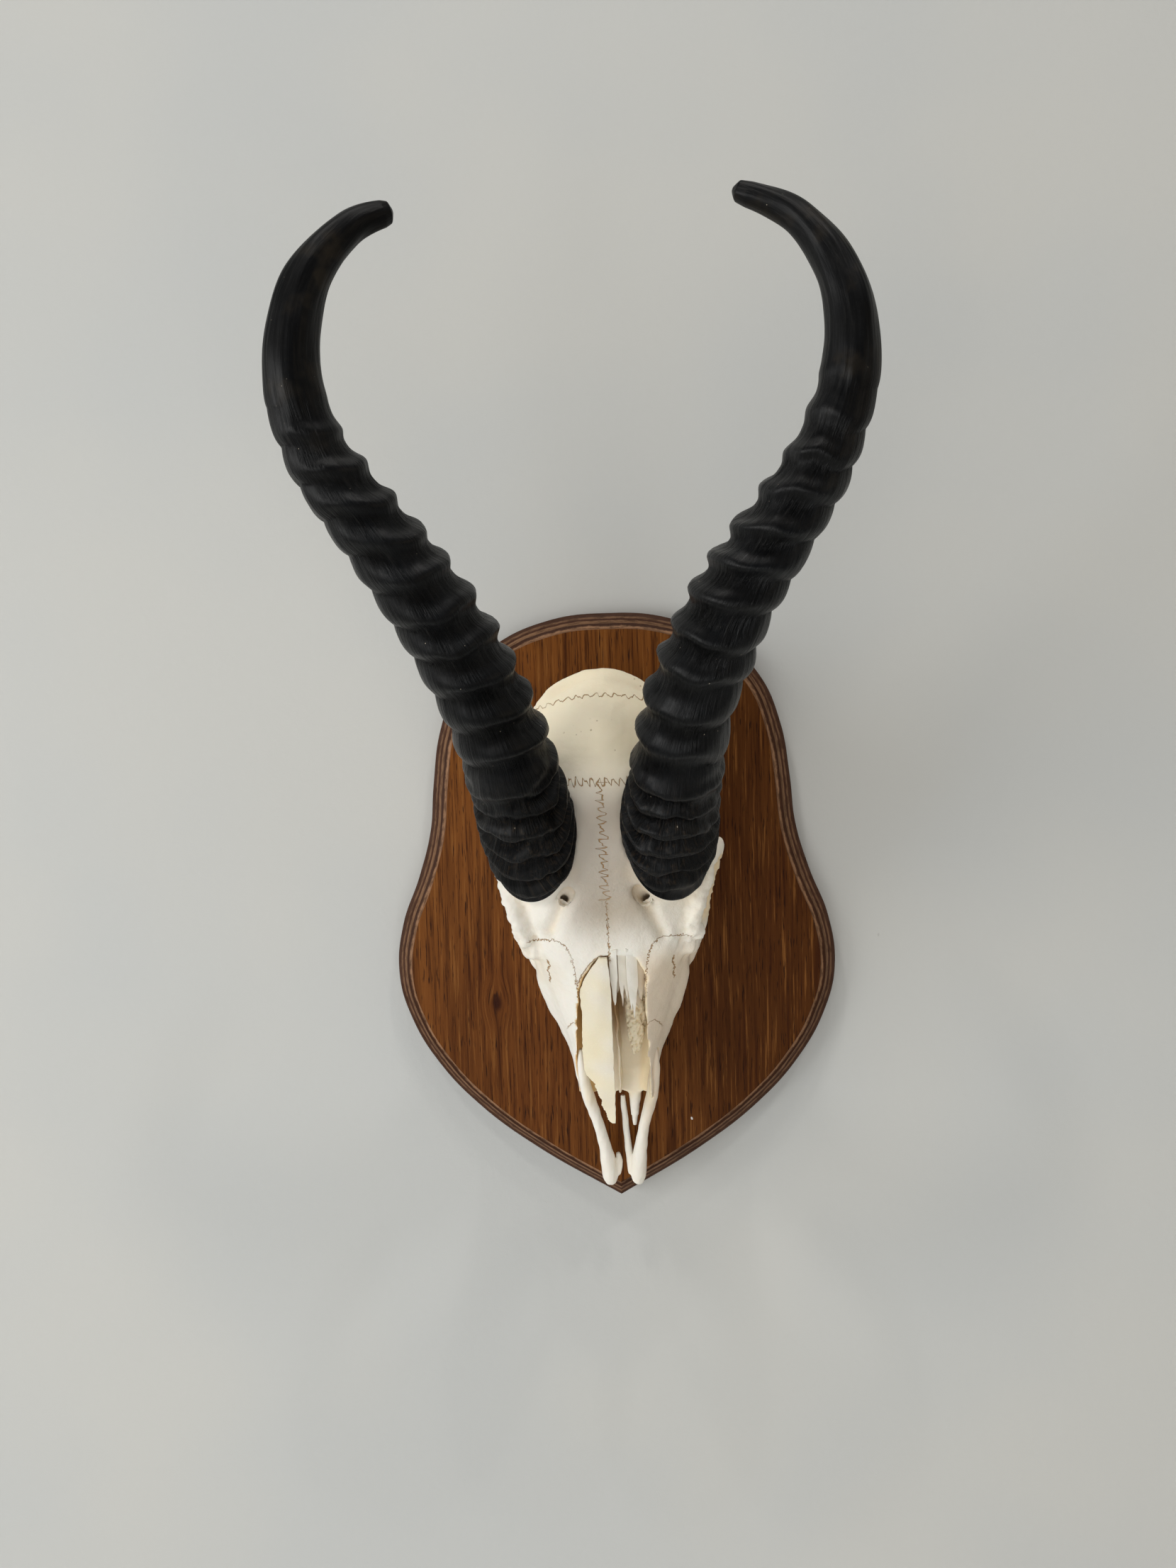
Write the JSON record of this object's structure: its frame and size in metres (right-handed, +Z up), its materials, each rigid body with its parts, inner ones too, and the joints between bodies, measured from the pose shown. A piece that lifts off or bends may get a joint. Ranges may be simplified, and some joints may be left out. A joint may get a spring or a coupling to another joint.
{
  "type": "springbok skull on a wooden shield",
  "caption": "Bleached springbok skull with ringed black horns, fixed on a varnished wooden shield that hangs on a wall.",
  "frame": {"origin": "on the shield's flat back face, on its vertical middle line, at half its height", "axes": "+Y out of the shield's back, into the wall; +Z up towards the horns; +X to the right of someone who faces the skull"},
  "size_m": [0.1986, 0.1882, 0.382],
  "materials": {
    "bone": "matt, bleached, a little porous",
    "enamel": "satin",
    "horn": "satin black with brown wear",
    "wood": "varnished, reddish brown",
    "steel": "zinc plated"
  },
  "bodies": {
    "root": {"plaque": "wood", "cranium": "bone", "nasal_bone": "bone", "nasal_concha": "bone", "vomer": "bone", "premaxilla_left": "bone", "premaxilla_right": "bone", "horn_sheath_left": "horn", "horn_sheath_right": "horn", "tooth_left_1": "enamel", "tooth_left_2": "enamel", "tooth_left_3": "enamel", "tooth_left_4": "enamel", "tooth_left_5": "enamel", "tooth_left_6": "enamel", "tooth_right_1": "enamel", "tooth_right_2": "enamel", "tooth_right_3": "enamel", "tooth_right_4": "enamel", "tooth_right_5": "enamel", "tooth_right_6": "enamel", "skull_screw": "steel", "hanger_plate": "steel", "hanger_screw_top": "steel", "hanger_screw_bottom": "steel"}
  },
  "joints": []
}
